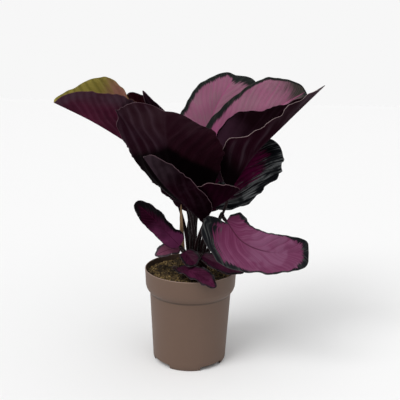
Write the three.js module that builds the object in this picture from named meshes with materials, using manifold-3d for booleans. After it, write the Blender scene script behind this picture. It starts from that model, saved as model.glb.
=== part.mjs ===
import * as THREE from 'three';
import { mergeVertices } from 'three/addons/utils/BufferGeometryUtils.js';
import Module from 'manifold-3d';

// A crimson calathea in its nursery pot. Millimetres, +Z up, -Y is the front.
// The origin is on the pot's axis, on the ground.

const wasm = await Module();
wasm.setup();

// Driving dimensions.
const GAP = 0.3;
const RIM_RADIUS = 60;
const POT_HEIGHT = 125;
const WALL = 1.3;
const COLLAR_HEIGHT = 31.5;
const COLLAR_STEP = 6;
const BODY_TOP_RADIUS = 53.5;
const BASE_RADIUS = 48.5;
const FLOOR_HEIGHT = 6.2;
const NOTCH_HEIGHT = 5.6;
const NOTCH_ANGLES = [-52, 38, 128, 218];
const NOTCH_WIDTH = 34;
const DRAIN_RADIUS = 3;
const DRAIN_RING_RADIUS = 34;
const DRAIN_COUNT = 8;
const SOIL_LEVEL = 118;
const SOIL_BUMP = 1.3;
const STALK_RADIUS = 2.1;
const STALK_FOOT_DEPTH = 16;
const BLADE_THICKNESS = 0.8;

const COLORS = {
  pot: 0x837369,
  soil: 0x5a4630,
  leaf: 0x4b2138,
  pinkLeaf: 0xa05078,
  stalk: 0x3c1a26,
  sheath: 0xb08a62,
};

// Every leaf: rib holds points of its midrib from stalk to tip, face the direction its upper side looks,
// width the half width in mm at its widest place, belly where along the rib that is. The lists under right
// and left run from stalk to tip: width scales that half, fold lifts it from the rib, curl bends it on
// towards the margin (degrees), sweep carries its margin forward. foot is the stalk's place in the soil, and
// stalk the points it passes on its way up.
const LEAVES = [
  {
    name: 'front_leaf', color: 'leaf', size: 'large',
    rib: [[-6, -10, 212], [-24, -32, 257], [-32, -42, 297], [-34, -30, 330]],
    face: [[0.1, 1, 0.2], [0.1, 1, 0], [0.05, 1, -0.15]],
    width: 64, belly: 0.5, blunt: 2.3, taper: 0.1,
    right: {
      width: [0.7, 0.78, 0.95, 1.12, 1.13, 1.14, 1.05], fold: [20, 15, 5], curl: [20, 30, 20],
      sweep: [0.2, 0.42, 0.6, 0.65],
    },
    left: { width: [1, 1.08, 0.94, 0.8], fold: [8, 5, 5], curl: [15, 18, 15], sweep: [-0.1, 0, 0.1, 0] },
    ruffle: 1, waves: 4,
    foot: [7, 6], stalk: [[4, 2, 165]],
  },
  {
    name: 'front_flap_leaf', color: 'leaf', size: 'large',
    rib: [[12, -34, 198], [-9, -56, 222], [-34, -72, 250], [-56, -80, 282]],
    face: [[0.5, 0.1, 0.9]],
    width: 29, belly: 0.42, blunt: 2.4, taper: 0.2,
    right: { width: [0.6, 0.7, 0.7], fold: [45, 40, 40], curl: [0], sweep: [0, 0.2, 0.3, 0.2] },
    left: { width: [1], fold: [60, 60, 55], curl: [0], sweep: [0, 0.2, 0.3, 0.2] },
    ruffle: 1.5, waves: 4,
    foot: [4, 0], stalk: [[6, -10, 155], [11, -26, 180]],
  },
  {
    name: 'left_wavy_leaf', color: 'leaf', size: 'large',
    rib: [[0, 2, 199], [-26, 0, 232], [-57, 4, 268], [-90, 8, 305]],
    face: [[0.25, 1, 0.3]],
    width: 23, belly: 0.5, blunt: 2.2, taper: 0.3,
    right: { width: [1], fold: [10], curl: [20], sweep: [0, 0.5, 0.6, 0.2] },
    left: { width: [0.35], fold: [10], curl: [10], sweep: [0, 0.5, 0.6, 0.2] },
    ruffle: 1.6, waves: 7,
    foot: [1, 6], stalk: [[0, 5, 160]],
  },
  {
    name: 'front_small_leaf', color: 'leaf', size: 'medium',
    rib: [[20, -36, 210], [31, -46, 219], [44, -48, 228], [57, -42, 239]],
    face: [[-0.3, 0.1, 0.9]],
    width: 24, belly: 0.45, blunt: 2.6, taper: 0.3,
    right: { width: [2, 1.45, 0.95, 0.7], fold: [60, 60, 50], curl: [0], sweep: [0.1, 0.2, 0.3, 0.1] },
    left: { width: [1], fold: [60, 60, 50], curl: [0], sweep: [0, 0.3, 0.4, 0.1] },
    ruffle: 0.8, waves: 3,
    foot: [10, 0], stalk: [[13, -8, 155], [19, -24, 188]],
  },
  {
    name: 'left_green_leaf', color: 'leaf', size: 'large',
    rib: [[-48, 32, 257], [-91, 40, 285], [-131, 22, 312], [-169, -18, 337]],
    face: [[0.5, -0.1, 0.85]],
    width: 62, belly: 0.4, blunt: 2.4, taper: 0.35,
    right: {
      width: [0.7, 0.65, 0.66, 0.76, 0.93, 1.02, 1, 0.78, 0.6], fold: [85, 80, 75, 50], curl: [0, 5, 5, 0],
      sweep: [0.1, 0.25, 0.3, 0.1],
    },
    left: {
      width: [1, 1, 1, 1.3], fold: [65, 62, 55, 65], curl: [0, 10, 10, 0], sweep: [0.1, 0.25, 0.3, 0.1],
    },
    ruffle: 0.5, waves: 3,
    foot: [-2, 12], stalk: [[-8, 16, 170], [-30, 28, 235]],
  },
  {
    name: 'pointed_leaf', color: 'leaf', size: 'medium',
    rib: [[-2, 6, 207], [-17, 2, 260], [-41, -2, 312], [-63, -4, 353]],
    face: [[0.2, 1, 0.1]],
    width: 24, belly: 0.42, blunt: 2, taper: 0.75, taperStart: 0.35,
    right: { width: [1], fold: [20], curl: [0], sweep: [0, 0.5, 0.6, 0.2] },
    left: { width: [1], fold: [20, 20, 10], curl: [0], sweep: [0, 0.5, 0.6, 0.2] },
    ruffle: 0.8, waves: 4,
    foot: [4, 12], stalk: [[2, 10, 160]],
  },
  {
    name: 'rounded_leaf', color: 'leaf', size: 'medium',
    rib: [[-22, 50, 243], [-48, 56, 283], [-68, 58, 320], [-87, 54, 347]],
    face: [[0.2, 1, 0.1]],
    width: 20, belly: 0.45, blunt: 2.2, taper: 0.3,
    right: { width: [1], fold: [20], curl: [0], sweep: [0, 0.5, 0.6, 0.2] },
    left: { width: [1], fold: [20, 20, 10], curl: [0], sweep: [0, 0.5, 0.6, 0.2] },
    ruffle: 0.8, waves: 4,
    foot: [1, 18], stalk: [[-3, 28, 180]],
  },
  {
    name: 'back_leaf', color: 'pinkLeaf', size: 'large',
    rib: [[16, 46, 234], [18, 57, 279], [29, 67, 327], [55, 69, 373]],
    face: [[-0.1, -1, 0.2]],
    width: 45, belly: 0.45, blunt: 2.9, taper: 0,
    right: { width: [0.5, 0.8, 0.95, 1.1], fold: [0], curl: [0], sweep: [0.2, 0.35, 0.3, 0.5] },
    left: { width: [1, 1.02, 0.86, 0.62], fold: [20, 20, 10], curl: [0], sweep: [0.2, 0.35, 0.2, 0] },
    ruffle: 1.2, waves: 5,
    foot: [7, 18], stalk: [[6, 26, 180]],
  },
  {
    name: 'right_pink_leaf', color: 'pinkLeaf', size: 'large',
    rib: [[29, 34, 240], [54, 42, 283], [97, 45, 323], [146, 38, 354]],
    face: [[-0.3, -1, 0.2]],
    width: 45, belly: 0.45, blunt: 2.4, taper: 0,
    right: { width: [0.5, 0.5, 0.5, 0.6], fold: [30, 40, 40], curl: [0], sweep: [0.2, 0.4, 0.4, 0.1] },
    left: { width: [1.05, 1, 1, 0.8], fold: [10], curl: [10], sweep: [0.2, 0.4, 0.4, 0.1] },
    ruffle: 1.2, waves: 5,
    foot: [13, 18], stalk: [[19, 26, 180]],
  },
  {
    name: 'right_folded_leaf', color: 'leaf', size: 'large',
    rib: [[49, -6, 231], [77, -8, 276], [119, 2, 319], [166, 20, 363]],
    face: [[-0.69, 0, 0.72]],
    width: 56, belly: 0.34, blunt: 2.2, taper: 0.75, taperStart: 0.45,
    right: {
      width: [0.6, 0.7, 0.74, 0.43, 0.41, 0.5, 0.7, 0.85, 0.9], fold: [80, 70, 50, 25], curl: [0],
      sweep: [0.3, 0.3, 0, 0],
    },
    left: { width: [0.7, 1, 1, 1], fold: [80, 72, 38, 10], curl: [0], sweep: [0, 0.1, 0.15, 0.1] },
    ruffle: 1.8, waves: 6,
    foot: [19, 6], stalk: [[29, 3, 170], [44, -6, 212]],
  },
  {
    name: 'right_dark_leaf', color: 'pinkLeaf', size: 'large',
    rib: [[26, 14, 205], [48, 18, 228], [71, 22, 261], [97, 22, 295]],
    face: [[-0.4, -0.9, 0.3], [-0.5, -0.8, 0.3]],
    width: 50, belly: 0.42, blunt: 2.3, taper: 0.3,
    right: { width: [0.5, 0.8, 1.1, 1.45], fold: [10], curl: [0], sweep: [0.1, 0.35, 0.4, 0.3] },
    left: { width: [0.35], fold: [40, 40, 30], curl: [0], sweep: [0.1, 0.4, 0.4, 0.1] },
    ruffle: 2, waves: 7,
    foot: [16, 12], stalk: [[20, 12, 165]],
  },
  {
    name: 'hanging_leaf', color: 'pinkLeaf', size: 'large',
    rib: [[43, -30, 196], [63, -50, 175], [96, -58, 165], [144, -52, 164]],
    face: [[0.1, -0.8, 0.5], [0.1, -0.9, 0.4]],
    width: 31, belly: 0.36, blunt: 5, taper: 0,
    right: {
      width: [0, 0.9, 1.3, 1.35, 1.15, 0.95, 0.83, 0.8, 0.8], fold: [10], curl: [10, 10, 0],
      sweep: [-1.9, -0.9, -0.45, -0.3, -0.1, 0, 0.1, 0, -0.1],
    },
    left: {
      width: [0.4, 0.72, 0.76, 0.75, 0.75, 0.75, 0.75, 0.7, 0.66], fold: [0, 10, 10], curl: [0],
      sweep: [-0.5, -0.7, -0.45, -0.25, -0.1, 0, 0, 0, 0],
    },
    ruffle: 2, waves: 4,
    foot: [16, 0], stalk: [[26, -8, 165], [38, -18, 203]],
  },
  {
    name: 'lower_left_leaf', color: 'pinkLeaf', size: 'small',
    rib: [[-15, -4, 155], [-31, -14, 175], [-49, -20, 196], [-71, -18, 215]],
    face: [[-0.2, -0.9, 0.4]],
    width: 15, belly: 0.36, blunt: 2.6, taper: 0.2,
    right: { width: [1.2, 0.85, 1, 1], fold: [10, 25, 25, 10], curl: [0], sweep: [0.4, 0.5, 0.6, 0.2] },
    left: { width: [0.9, 0.9, 1, 1], fold: [10], curl: [0], sweep: [0.4, 0.5, 0.6, 0.2] },
    ruffle: 1.6, waves: 5,
    foot: [-2, 0], stalk: [[-6, 0, 138]],
  },
  {
    name: 'soil_left_leaf', color: 'pinkLeaf', size: 'small',
    rib: [[-15, 8, 146], [-25, 4, 148], [-35, 0, 146], [-47, -4, 141]],
    face: [[-0.2, -0.7, 0.7]],
    width: 10, belly: 0.42, blunt: 2.2, taper: 0.3,
    right: { width: [1], fold: [10], curl: [0], sweep: [0, 0.5, 0.6, 0.2] },
    left: { width: [1], fold: [10], curl: [0], sweep: [0, 0.5, 0.6, 0.2] },
    ruffle: 0.5, waves: 3,
    foot: [-5, 6], stalk: [[-8, 7, 136]],
  },
  {
    name: 'soil_centre_leaf', color: 'pinkLeaf', size: 'small',
    rib: [[-9, -20, 152], [-4, -26, 149], [1, -32, 145], [8, -36, 141]],
    face: [[0.1, -0.7, 0.7]],
    width: 12, belly: 0.42, blunt: 2.2, taper: 0.3,
    right: { width: [1], fold: [10], curl: [0], sweep: [0, 0.5, 0.6, 0.2] },
    left: { width: [1], fold: [10], curl: [0], sweep: [0, 0.5, 0.6, 0.2] },
    ruffle: 0.5, waves: 3,
    foot: [1, -6], stalk: [[-6, -10, 140]],
  },
  {
    name: 'soil_front_leaf', color: 'pinkLeaf', size: 'small',
    rib: [[-17, -27, 132], [-3, -41, 134], [15, -55, 131], [31, -67, 122]],
    face: [[0, -0.35, 0.94]],
    width: 14, belly: 0.5, blunt: 2.2, taper: 0.3,
    right: { width: [1, 1, 1.1], fold: [10], curl: [0], sweep: [0, 0.5, 0.6, 0.2] },
    left: { width: [1, 0.9, 0.8], fold: [10], curl: [0], sweep: [0, 0.5, 0.6, 0.2] },
    ruffle: 1.4, waves: 4,
    foot: [-14, -10], stalk: [[-20, -15, 126]],
  },
  {
    name: 'soil_right_leaf', color: 'pinkLeaf', size: 'small',
    rib: [[14, -20, 147], [29, -30, 142], [47, -34, 136], [68, -30, 130]],
    face: [[0.2, -0.7, 0.7]],
    width: 12, belly: 0.42, blunt: 2.2, taper: 0.3,
    right: { width: [1], fold: [20, 20, 30], curl: [0], sweep: [0, 0.5, 0.6, 0.2] },
    left: { width: [1], fold: [20, 20, 10], curl: [0], sweep: [0, 0.5, 0.6, 0.2] },
    ruffle: 0.8, waves: 4,
    foot: [10, -8], stalk: [[10, -13, 138]],
  },
  {
    name: 'rear_left_leaf', color: 'pinkLeaf', size: 'medium',
    rib: [[-4, 42, 196], [-12, 62, 224], [-22, 76, 254], [-30, 84, 284]],
    face: [[0, -0.8, 0.6], [0, -0.9, 0.4]],
    width: 26, belly: 0.45, blunt: 2.3, taper: 0.2,
    right: { width: [1], fold: [20], curl: [10], sweep: [0.2, 0.4, 0.4, 0.1] },
    left: { width: [1], fold: [20], curl: [10], sweep: [0.2, 0.4, 0.4, 0.1] },
    ruffle: 1.2, waves: 5,
    foot: [4, 24], stalk: [[-5, 32, 160]],
  },
  {
    name: 'rear_right_leaf', color: 'pinkLeaf', size: 'medium',
    rib: [[24, 44, 190], [36, 62, 214], [50, 76, 240], [66, 82, 264]],
    face: [[0, -0.8, 0.6], [0, -0.9, 0.4]],
    width: 26, belly: 0.45, blunt: 2.3, taper: 0.2,
    right: { width: [1], fold: [20], curl: [10], sweep: [0.2, 0.4, 0.4, 0.1] },
    left: { width: [1], fold: [20], curl: [10], sweep: [0.2, 0.4, 0.4, 0.1] },
    ruffle: 1.2, waves: 5,
    foot: [10, 24], stalk: [[12, 32, 155]],
  },
];

const material = (name) => new THREE.MeshStandardMaterial({
  color: COLORS[name],
  roughness: name === 'soil' ? 0.95 : 0.6,
  metalness: 0,
});

// Value at s (0 to 1) of a list of values evenly spaced along the leaf.
function ramp(list, s) {
  const x = THREE.MathUtils.clamp(s, 0, 1) * (list.length - 1);
  const i = Math.min(Math.floor(x), list.length - 2);
  if (i < 0) return list[0];
  return THREE.MathUtils.lerp(list[i], list[i + 1], THREE.MathUtils.smoothstep(x - i, 0, 1));
}

// Closed body through rings with an even number of points. The first half of each ring lies on one side and
// the second half comes back on the other, and the two sides are split into triangles alike.
function loft(rings) {
  const m = rings[0].length;
  const positions = rings.flat().flatMap((p) => p.toArray());
  const index = [];
  const quad = (a, b, c, d) => index.push(a, b, c, a, c, d);
  for (let r = 0; r < rings.length - 1; r += 1) {
    for (let i = 0; i < m; i += 1) {
      const j = (i + 1) % m;
      const [a, b, c, d] = [r * m + i, r * m + j, (r + 1) * m + j, (r + 1) * m + i];
      if (i < m / 2) quad(a, b, c, d);
      else quad(b, c, d, a);
    }
  }
  const last = (rings.length - 1) * m;
  for (let i = 0; i < m / 2 - 1; i += 1) {
    const k = m - 1 - i;
    quad(i, k, k - 1, i + 1);
    quad(last + i, last + i + 1, last + k - 1, last + k);
  }
  const geometry = new THREE.BufferGeometry();
  geometry.setAttribute('position', new THREE.Float32BufferAttribute(positions, 3));
  geometry.setIndex(index);
  return geometry;
}

const curveThrough = (points, kind = 'catmullrom') => new THREE.CatmullRomCurve3(
  points.map((p) => new THREE.Vector3(...p)), false, kind, 0.5,
);

// Half width of a blade at s: a blunt oval, widest at the belly, narrowed towards the tip.
const STUB_HALF_WIDTH = 0.9;
function halfWidth(leaf, s) {
  const q = s ** (Math.log(0.5) / Math.log(leaf.belly));
  const oval = (1 - Math.abs(2 * q - 1) ** leaf.blunt) ** (1 / leaf.blunt);
  const start = leaf.taperStart ?? 0.6;
  const point = 1 - leaf.taper * THREE.MathUtils.clamp((s - start) / (1 - start), 0, 1);
  return leaf.width * oval * point;
}

// Point of the blade at s along its midrib and v across it (-1 to 1, + is the right half), with half the
// blade's thickness as a vector out of its upper side, longer on the rib, where the halves meet.
const FLAT_BELOW = 8;
const LONGEST_MITER = 2.5;
const VEIN_BEND = 1.4;
const LEFT_PHASE = 2;
function bladePoint(leaf, curve, s, v) {
  const forward = curve.getTangent(s);
  const up = new THREE.Vector3(...[0, 1, 2].map((k) => ramp(leaf.face.map((f) => f[k]), s)));
  up.addScaledVector(forward, -up.dot(forward)).normalize();
  const side = new THREE.Vector3().crossVectors(forward, up);
  const right = v >= 0;
  const half = right ? leaf.right : leaf.left;
  const across = Math.abs(v);
  const width = Math.max(halfWidth(leaf, s) * ramp(half.width, s), STUB_HALF_WIDTH);
  const flat = Math.min(1, width / FLAT_BELOW);
  const fold = THREE.MathUtils.degToRad(ramp(half.fold, s)) * flat;
  const curl = THREE.MathUtils.degToRad(Math.max(ramp(half.curl, s), 0.01));
  const angle = fold + curl * across;
  const out = width * (Math.sin(angle) - Math.sin(fold)) / curl;
  const lift = width * (Math.cos(fold) - Math.cos(angle)) / curl;
  const ahead = ramp(half.sweep, s) * width * flat * across ** VEIN_BEND;
  const phase = 2 * Math.PI * leaf.waves * s + (right ? 0 : LEFT_PHASE);
  const ruffle = leaf.ruffle * across ** 3 * Math.sin(phase) * Math.sin(Math.PI * s) ** 0.5;
  const sign = right ? 1 : -1;
  const normal = v === 0 ? up.clone() : side.clone().multiplyScalar(-sign * Math.sin(angle))
    .addScaledVector(up, Math.cos(angle));
  const point = curve.getPoint(s)
    .addScaledVector(side, sign * out)
    .addScaledVector(up, lift)
    .addScaledVector(forward, ahead)
    .addScaledVector(normal, ruffle);
  const miter = v === 0 ? Math.min(1 / Math.cos(fold), LONGEST_MITER) : 1;
  return { point, half: normal.multiplyScalar(0.5 * BLADE_THICKNESS * miter) };
}

// A blade with its thickness, as rings across the leaf from stalk to tip.
const BLADE_CELLS = { large: [20, 8], medium: [16, 6], small: [12, 6] };
function bladeGeometry(leaf) {
  const [along, acrossCells] = BLADE_CELLS[leaf.size];
  const curve = curveThrough(leaf.rib);
  const rings = [];
  for (let r = 0; r <= along; r += 1) {
    const t = r / along;
    const s = 0.5 * t + 0.5 * (0.5 - 0.5 * Math.cos(Math.PI * t));
    const top = [];
    const bottom = [];
    for (let k = 0; k <= acrossCells; k += 1) {
      const v = 2 * k / acrossCells - 1;
      const { point, half } = bladePoint(leaf, curve, s, v);
      top.push(point.clone().add(half));
      bottom.unshift(point.clone().sub(half));
    }
    rings.push([...top, ...bottom]);
  }
  return loft(rings);
}

// A round stalk along its points: it fits its hole, swells over the soil and thins again under the blade.
const STALK_SIDES = 6;
const STALK_STEPS = 12;
const STALK_RADII = [1.25, 1.25, 1.1, 0.9, 0.8, 1];
const STALK_FOOT_RADIUS = 0.95 * STALK_RADIUS;
const SWELL_HEIGHT = 24;
function stalkGeometry(points) {
  const curve = curveThrough(points, 'centripetal');
  const frames = curve.computeFrenetFrames(STALK_STEPS);
  const rings = [];
  for (let r = 0; r <= STALK_STEPS; r += 1) {
    const centre = curve.getPointAt(r / STALK_STEPS);
    const free = THREE.MathUtils.smoothstep(centre.z, FOOT_STRAIGHT_TO, FOOT_STRAIGHT_TO + SWELL_HEIGHT);
    const full = STALK_RADIUS * ramp(STALK_RADII, r / STALK_STEPS);
    const radius = THREE.MathUtils.lerp(STALK_FOOT_RADIUS, full, free);
    rings.push(Array.from({ length: STALK_SIDES }, (_, i) => {
      const angle = 2 * Math.PI * (i + 0.5) / STALK_SIDES;
      return centre.clone()
        .addScaledVector(frames.normals[r], radius * Math.cos(angle))
        .addScaledVector(frames.binormals[r], radius * Math.sin(angle));
    }));
  }
  return loft(rings);
}

// A stalk rises straight out of its hole and meets the blade along the rib.
const FOOT_END_HEIGHT = SOIL_LEVEL - STALK_FOOT_DEPTH;
const FOOT_STRAIGHT_TO = SOIL_LEVEL + 2;
const NECK_LENGTH = 6;
function stalkPoints(leaf) {
  const curve = curveThrough(leaf.rib);
  const forward = curve.getTangent(0);
  const end = curve.getPoint(0).addScaledVector(forward, -GAP);
  const neck = end.clone().addScaledVector(forward, -NECK_LENGTH);
  const [x, y] = leaf.foot;
  const rise = [FOOT_END_HEIGHT, SOIL_LEVEL - 5, FOOT_STRAIGHT_TO].map((z) => [x, y, z]);
  return [...rise, ...leaf.stalk, neck.toArray(), end.toArray()];
}

function toManifold(geometry) {
  const bare = geometry.clone();
  bare.deleteAttribute('normal');
  bare.deleteAttribute('uv');
  const merged = mergeVertices(bare, 1e-4);
  return new wasm.Manifold(new wasm.Mesh({
    numProp: 3,
    vertProperties: new Float32Array(merged.attributes.position.array),
    triVerts: new Uint32Array(merged.index.array),
  }));
}

function fromManifold(solid) {
  const mesh = solid.getMesh();
  const geometry = new THREE.BufferGeometry();
  geometry.setAttribute('position', new THREE.BufferAttribute(mesh.vertProperties, 3));
  geometry.setIndex(new THREE.BufferAttribute(mesh.triVerts, 1));
  return geometry;
}

// A lathed body about +Z from [radius, height] points.
function turned(profile, segments) {
  const geometry = new THREE.LatheGeometry(profile.map(([r, z]) => new THREE.Vector2(r, z)), segments);
  return geometry.rotateX(Math.PI / 2);
}

// The pot: one thin wall from foot to rim, floor raised inside the foot, notches and drain holes cut.
const COLLAR_BOTTOM = POT_HEIGHT - COLLAR_HEIGHT;
const FOOT_RADIUS = BASE_RADIUS - 1.3;
const FOOT_WIDTH = 1.5;
const FOOT_CHAMFER = 3;
const COLLAR_RADIUS = RIM_RADIUS - 1;
const SHOULDER_RADIUS = RIM_RADIUS - 2.5;
const SHOULDER_HEIGHT = COLLAR_BOTTOM + COLLAR_STEP;
const COLLAR_FROM = SHOULDER_HEIGHT + 4;
const WALL_SLANT = 1;
const LIP = 0.4;
const POT_SEGMENTS = 48;
const NOTCH_REACH = 15;
function potGeometry() {
  const footInside = FOOT_RADIUS - FOOT_WIDTH;
  const underside = [[0, FLOOR_HEIGHT], [footInside, FLOOR_HEIGHT], [footInside, 0]];
  const outside = [
    [FOOT_RADIUS, 0], [BASE_RADIUS, FOOT_CHAMFER], [BODY_TOP_RADIUS, COLLAR_BOTTOM],
    [SHOULDER_RADIUS, SHOULDER_HEIGHT - WALL_SLANT], [COLLAR_RADIUS, COLLAR_FROM],
    [RIM_RADIUS, POT_HEIGHT - LIP], [RIM_RADIUS - LIP, POT_HEIGHT],
  ];
  const inside = [
    [RIM_RADIUS - WALL + LIP, POT_HEIGHT], [RIM_RADIUS - WALL, POT_HEIGHT - LIP],
    [COLLAR_RADIUS - WALL, COLLAR_FROM], [SHOULDER_RADIUS - WALL, SHOULDER_HEIGHT],
    [BODY_TOP_RADIUS - WALL, COLLAR_BOTTOM + WALL_SLANT], [BASE_RADIUS - WALL, FLOOR_HEIGHT + WALL],
    [0, FLOOR_HEIGHT + WALL],
  ];
  let pot = toManifold(turned([...underside, ...outside, ...inside], POT_SEGMENTS));
  for (const degrees of NOTCH_ANGLES) {
    const notch = new THREE.BoxGeometry(NOTCH_WIDTH, 2 * NOTCH_REACH, 2 * NOTCH_HEIGHT)
      .translate(0, -BASE_RADIUS, 0)
      .rotateZ(THREE.MathUtils.degToRad(degrees));
    pot = pot.subtract(toManifold(notch));
  }
  for (let i = 0; i < DRAIN_COUNT; i += 1) {
    const hole = new THREE.CylinderGeometry(DRAIN_RADIUS, DRAIN_RADIUS, 6 * WALL, 10)
      .rotateX(Math.PI / 2)
      .translate(DRAIN_RING_RADIUS, 0, FLOOR_HEIGHT)
      .rotateZ(2 * Math.PI * i / DRAIN_COUNT);
    pot = pot.subtract(toManifold(hole));
  }
  return fromManifold(pot);
}

// The root ball: fills the pot's inside with a slightly lumpy top, and holds one plain hole for each foot.
const SOIL_SEGMENTS = 32;
const SOIL_RINGS = [50, 40, 30, 20, 10];
const SOIL_INSET = WALL + GAP + 0.2;
const HOLE_SIDES = 8;
const HOLE_RADIUS = (STALK_RADIUS + GAP) / Math.cos(Math.PI / HOLE_SIDES);
function soilGeometry(feet) {
  const bottom = FLOOR_HEIGHT + WALL + GAP;
  const profile = [
    [0, bottom], [BASE_RADIUS - SOIL_INSET, bottom],
    [BODY_TOP_RADIUS - SOIL_INSET, COLLAR_BOTTOM + WALL_SLANT],
    [SHOULDER_RADIUS - SOIL_INSET, SHOULDER_HEIGHT], [COLLAR_RADIUS - SOIL_INSET, COLLAR_FROM],
    [COLLAR_RADIUS - SOIL_INSET, SOIL_LEVEL - 1.5 * SOIL_BUMP],
    ...SOIL_RINGS.map((r) => [r, SOIL_LEVEL]), [0, SOIL_LEVEL],
  ];
  const body = turned(profile, SOIL_SEGMENTS);
  const position = body.attributes.position;
  for (let i = 0; i < position.count; i += 1) {
    if (position.getZ(i) === SOIL_LEVEL) {
      const [x, y] = [position.getX(i), position.getY(i)];
      const bump = Math.sin(0.21 * x + 1) * Math.cos(0.17 * y) + 0.5 * Math.sin(0.4 * x - 0.33 * y);
      position.setZ(i, SOIL_LEVEL + SOIL_BUMP * bump);
    }
  }
  const depth = STALK_FOOT_DEPTH + GAP;
  let soil = toManifold(body);
  for (const [x, y] of feet) {
    const hole = new THREE.CylinderGeometry(HOLE_RADIUS, HOLE_RADIUS, 2 * depth, HOLE_SIDES)
      .rotateX(Math.PI / 2)
      .translate(x, y, SOIL_LEVEL);
    soil = soil.subtract(toManifold(hole));
  }
  return fromManifold(soil);
}

// The dry papery strip at the left of the stalks, standing in a hole of its own.
const SHEATH = {
  rib: [[-8, 18, FOOT_END_HEIGHT], [-9, 18, 130], [-13, 11, 168], [-14, 2, 209]],
  face: [[0.3, 1, 0]],
  width: 3.2, belly: 0.6, blunt: 2.6, taper: 0.5, size: 'small',
  right: { width: [0.6, 0.6, 1, 1], fold: [20], curl: [0], sweep: [0] },
  left: { width: [0.6, 0.6, 1, 1], fold: [20], curl: [0], sweep: [0] },
  ruffle: 0.6, waves: 3,
};

const group = new THREE.Group();
function add(name, geometry, color) {
  const mesh = new THREE.Mesh(geometry, material(color));
  mesh.name = name;
  group.add(mesh);
}

add('pot', potGeometry(), 'pot');
add('soil', soilGeometry([...LEAVES.map((leaf) => leaf.foot), SHEATH.rib[0]]), 'soil');
for (const leaf of LEAVES) {
  add(leaf.name, bladeGeometry(leaf), leaf.color);
  add(leaf.name.replace('leaf', 'stalk'), stalkGeometry(stalkPoints(leaf)), 'stalk');
}
add('dry_sheath', bladeGeometry(SHEATH), 'sheath');

export default group;
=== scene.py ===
import math

import bmesh
import bpy
import numpy as np
from mathutils import Matrix, Vector


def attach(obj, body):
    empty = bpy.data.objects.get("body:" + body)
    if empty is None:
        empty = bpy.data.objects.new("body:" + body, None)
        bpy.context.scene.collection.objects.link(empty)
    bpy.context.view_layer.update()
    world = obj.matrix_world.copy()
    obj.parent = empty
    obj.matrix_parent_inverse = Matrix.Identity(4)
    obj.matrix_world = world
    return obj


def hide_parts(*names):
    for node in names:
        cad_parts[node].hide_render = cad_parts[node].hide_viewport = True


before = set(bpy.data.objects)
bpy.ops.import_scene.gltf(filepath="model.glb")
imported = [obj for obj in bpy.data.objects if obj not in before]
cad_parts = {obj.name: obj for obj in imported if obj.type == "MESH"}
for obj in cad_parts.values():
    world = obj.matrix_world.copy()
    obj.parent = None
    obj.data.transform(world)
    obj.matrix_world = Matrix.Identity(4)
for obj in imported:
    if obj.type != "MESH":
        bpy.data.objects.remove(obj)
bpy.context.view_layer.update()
scene = bpy.context.scene


# The nursery pot.
# It is injection-moulded in thin matt taupe polypropylene: a plain cone with a wide collar, a rolled lip, and
# a foot ring that four notches cut into feet. The floor is raised inside the foot and drained by eight holes.
MM = 0.001
RIM_RADIUS = 60
POT_HEIGHT = 125
WALL = 1.3
COLLAR_BOTTOM = 93.5
COLLAR_SHOULDER = 98.5
COLLAR_HEIGHT = 103.5
SHOULDER_INSET = 2.5
COLLAR_INSET = 1
INNER_RISE = 1
BODY_TOP_RADIUS = 53.5
BASE_RADIUS = 48.5
FLOOR_HEIGHT = 6.2
FOOT_INSET = 1.3
FOOT_TAPER_HEIGHT = 3
FOOT_WALL = 1.5
LIP_EDGE = 0.4
CORNER_ROUND = 1.2
NOTCH_SIZE = (34, 30, 11.2)
NOTCH_ANGLES = (-52, 38, 128, 218)
DRAIN_RADIUS = 3
DRAIN_RING_RADIUS = 34
DRAIN_COUNT = 8
DRAIN_SIDES = 20
DRAIN_REACH = 4
POT_SEGMENTS = 160
SHARP_EDGE = math.radians(32)
TAUPE = (0.12, 0.072, 0.05)
TAUPE_WORN = (0.156, 0.099, 0.073)
# A darker taupe for specks of dust, and for a band that darkens towards the foot.
DARKER_TAUPE = (0.093, 0.058, 0.041)
FOOT_DARK_BAND = (9, 1)
# Painted highlight: a paler band along the top of the lip.
LIP_PAINTED_HIGHLIGHT = (0.27, 0.19, 0.15)
LIP_HIGHLIGHT_BAND = (POT_HEIGHT - 1.2, POT_HEIGHT)
# Painted shade: a dark band at the crease where the collar meets the body.
CREASE_SHADE = (0.03, 0.017, 0.011)
CREASE_BELOW = (COLLAR_BOTTOM - 1.6, COLLAR_BOTTOM - 0.4)
CREASE_ABOVE = (COLLAR_BOTTOM + 2.2, COLLAR_BOTTOM + 0.9)
# Painted shade on the inner wall just under the rim.
INSIDE_PAINTED_SHADE = (0.04, 0.024, 0.016)
INSIDE_RADII = (RIM_RADIUS - 1.05, RIM_RADIUS - 1.25)
INSIDE_HEIGHTS = (COLLAR_BOTTOM + 10.5, COLLAR_BOTTOM + 12)


def add_node(kind, *values, tree=None, output=0, **options):
    """Adds a shader node beside its first value, sets options and then inputs, and returns one output."""
    tree = tree or values[0].id_data
    made = tree.nodes.new("ShaderNode" + kind)
    for option, setting in options.items():
        setattr(made, option, setting)
    for socket, value in zip(made.inputs, values):
        if isinstance(value, bpy.types.NodeSocket):
            tree.links.new(value, socket)
        elif value is not None:
            socket.default_value = (*value, 1) if socket.type == "RGBA" else value
    return made.outputs[output]


def calc(operation, *values):
    """One step of arithmetic on an output and more outputs or numbers."""
    return add_node("Math", *values, operation=operation)


def times(product, *others):
    """The product of outputs and numbers."""
    for other in others:
        product = calc("MULTIPLY", product, other)
    return product


def step(value, low, high, below=0, above=1):
    """Rises smoothly from below to above as value passes from low to high."""
    return add_node("MapRange", value, low, high, below, above, interpolation_type="SMOOTHSTEP")


def mix(colour, other, *shares):
    """Turns a colour towards another one, by the product of the shares."""
    return add_node("Mix", times(*shares), *[None] * 5, colour, other, output=2, data_type="RGBA")


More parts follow.
